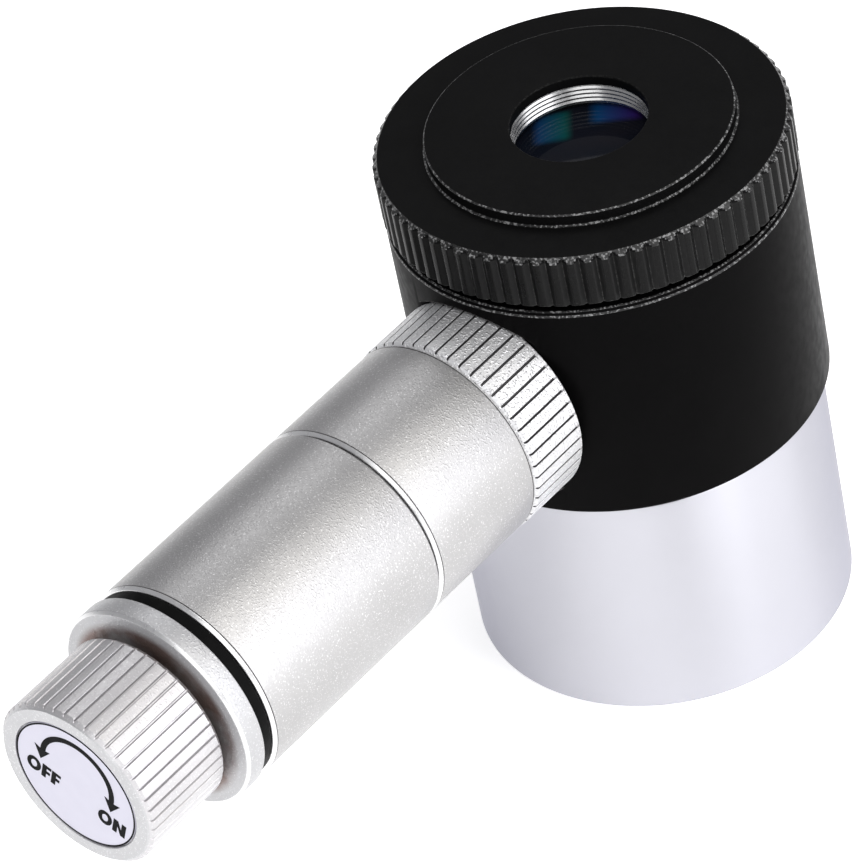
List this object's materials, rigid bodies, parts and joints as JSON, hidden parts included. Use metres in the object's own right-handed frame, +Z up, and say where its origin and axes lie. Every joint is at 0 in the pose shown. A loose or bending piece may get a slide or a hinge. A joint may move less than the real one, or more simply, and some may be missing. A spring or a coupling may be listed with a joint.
{
  "type": "illuminated reticle eyepiece",
  "caption": "Short push-fit guiding eyepiece with a knurled focusing ring and a battery lamp tube in its side that lights the crosshair, with a fluted dimmer knob.",
  "frame": {"origin": "on the optical axis, at the open lower end of the nosepiece", "axes": "+Z up the optical axis from the nosepiece to the eye, -Y along the lamp tube to its knob"},
  "size_m": [0.0336, 0.0828, 0.0488],
  "materials": {
    "satin_chrome": "satin chrome plate, fine turned grain round the barrel",
    "black_anodised": "black anodised, satin",
    "black_knurled": "black anodised, fine straight knurl on the rim",
    "matt_black": "matt black anodised against stray light",
    "blasted_aluminium": "bead-blasted, clear anodised",
    "turned_aluminium": "turned, clear anodised",
    "optical_glass": "polished, blue-green anti-reflection coating",
    "brass_contact": "bare brass",
    "nickel_plate": "nickel plated steel",
    "spring_steel": "drawn spring wire",
    "red_lamp": "clear red epoxy",
    "board_green": "solder-masked glass laminate",
    "white_plastic": "moulded white plastic",
    "dark_plastic": "moulded dark plastic",
    "seal_rubber": "black nitrile rubber",
    "label_face": "printed pale label, black lettering"
  },
  "bodies": {
    "eyepiece_body": {"nosepiece": "satin_chrome", "body_shell": "black_anodised", "reticle_cell": "matt_black", "reticle_glass": "optical_glass", "reticle_retainer": "matt_black"},
    "lens_unit": {"lens_cell": "black_anodised", "field_flint": "optical_glass", "field_crown": "optical_glass", "lens_spacer": "matt_black", "eye_crown": "optical_glass", "eye_flint": "optical_glass", "eye_retainer": "turned_aluminium"},
    "focus_ring": {"dioptre_ring": "black_knurled"},
    "lamp_core": {"illuminator_stem": "turned_aluminium", "led_lamp": "red_lamp", "led_lead_anode": "nickel_plate", "led_lead_cathode": "nickel_plate", "led_board": "board_green"},
    "lamp_shell": {"knurled_collar": "blasted_aluminium", "front_tube": "blasted_aluminium", "front_insulator": "white_plastic", "front_contact": "brass_contact", "contact_spring": "spring_steel"},
    "battery_pack": {"battery_sleeve": "white_plastic", "button_cell_1": "nickel_plate", "button_cell_2": "nickel_plate"},
    "battery_shell": {"rear_tube": "blasted_aluminium", "seal_ring": "seal_rubber", "end_cap": "turned_aluminium", "rear_contact": "brass_contact", "dimmer_body": "dark_plastic", "dimmer_bushing": "nickel_plate", "lock_washer": "nickel_plate", "lock_nut": "nickel_plate"},
    "dimmer_knob": {"knob": "turned_aluminium", "knob_core": "brass_contact", "dimmer_shaft": "nickel_plate", "knob_label": "label_face"}
  },
  "joints": [
    {"name": "focus_lift", "type": "slide", "parent": "eyepiece_body", "child": "lens_unit", "axis": [0, 0, 1], "range_m": [-0.00033, 0.00233]},
    {"name": "focus_turn", "type": "hinge", "parent": "lens_unit", "child": "focus_ring", "pos_m": [0, 0, 0.0455], "axis": [0, 0, 1], "range_deg": [-120, 840]},
    {"name": "lamp_out", "type": "slide", "parent": "eyepiece_body", "child": "lamp_core", "axis": [0, -1, 0], "range_m": [0, 0.003]},
    {"name": "lamp_turn", "type": "hinge", "parent": "lamp_core", "child": "lamp_shell", "pos_m": [0, -0.0186, 0.032], "axis": [0, -1, 0], "range_deg": [0, 1445]},
    {"name": "battery_out", "type": "slide", "parent": "lamp_shell", "child": "battery_pack", "axis": [0, -1, 0], "range_m": [0, 0.0045]},
    {"name": "battery_turn", "type": "hinge", "parent": "battery_pack", "child": "battery_shell", "pos_m": [0, -0.0437, 0.032], "axis": [0, -1, 0], "range_deg": [0, 1625]},
    {"name": "dimmer_turn", "type": "hinge", "parent": "battery_shell", "child": "dimmer_knob", "pos_m": [0, -0.0617, 0.032], "axis": [0, 1, 0], "range_deg": [0, 300]}
  ],
  "couplings": [
    {"joint": "focus_turn", "follows": "focus_lift", "rad_per_m": 6283.2},
    {"joint": "lamp_turn", "follows": "lamp_out", "rad_per_m": 8377.6},
    {"joint": "battery_turn", "follows": "battery_out", "rad_per_m": 6283.2}
  ]
}
